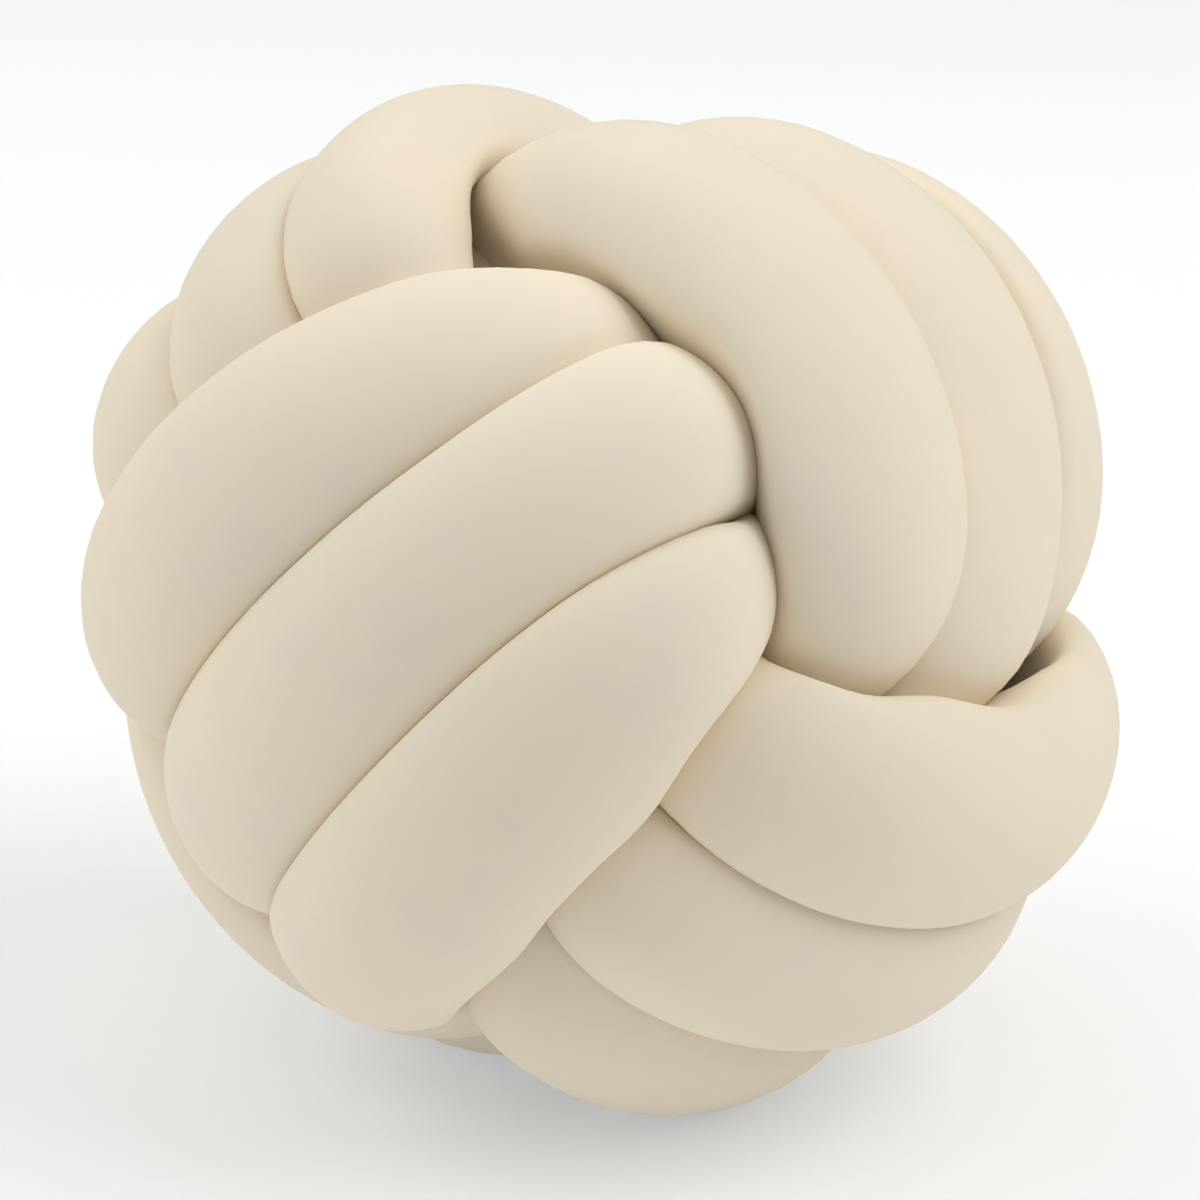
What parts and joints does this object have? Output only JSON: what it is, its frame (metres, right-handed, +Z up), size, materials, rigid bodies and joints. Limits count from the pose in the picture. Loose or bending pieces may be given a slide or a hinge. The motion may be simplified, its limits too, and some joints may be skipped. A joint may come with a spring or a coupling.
{
  "type": "knot cushion",
  "caption": "Ball-shaped knot cushion: one long stuffed cream jersey tube wound in three interlocking bands of parallel strands.",
  "frame": {"origin": "centre of the bounding box's bottom face, on the surface that the cushion rests on", "axes": "+Z up; -Y towards the viewer of the picture, on the side where three parallel strands run from lower left to upper right; +X to that viewer's right"},
  "size_m": [0.3136, 0.3244, 0.2928],
  "materials": {
    "cover_jersey": "matte, fine smooth knit"
  },
  "bodies": {
    "root": {"knotted_tube": "cover_jersey"}
  },
  "joints": []
}
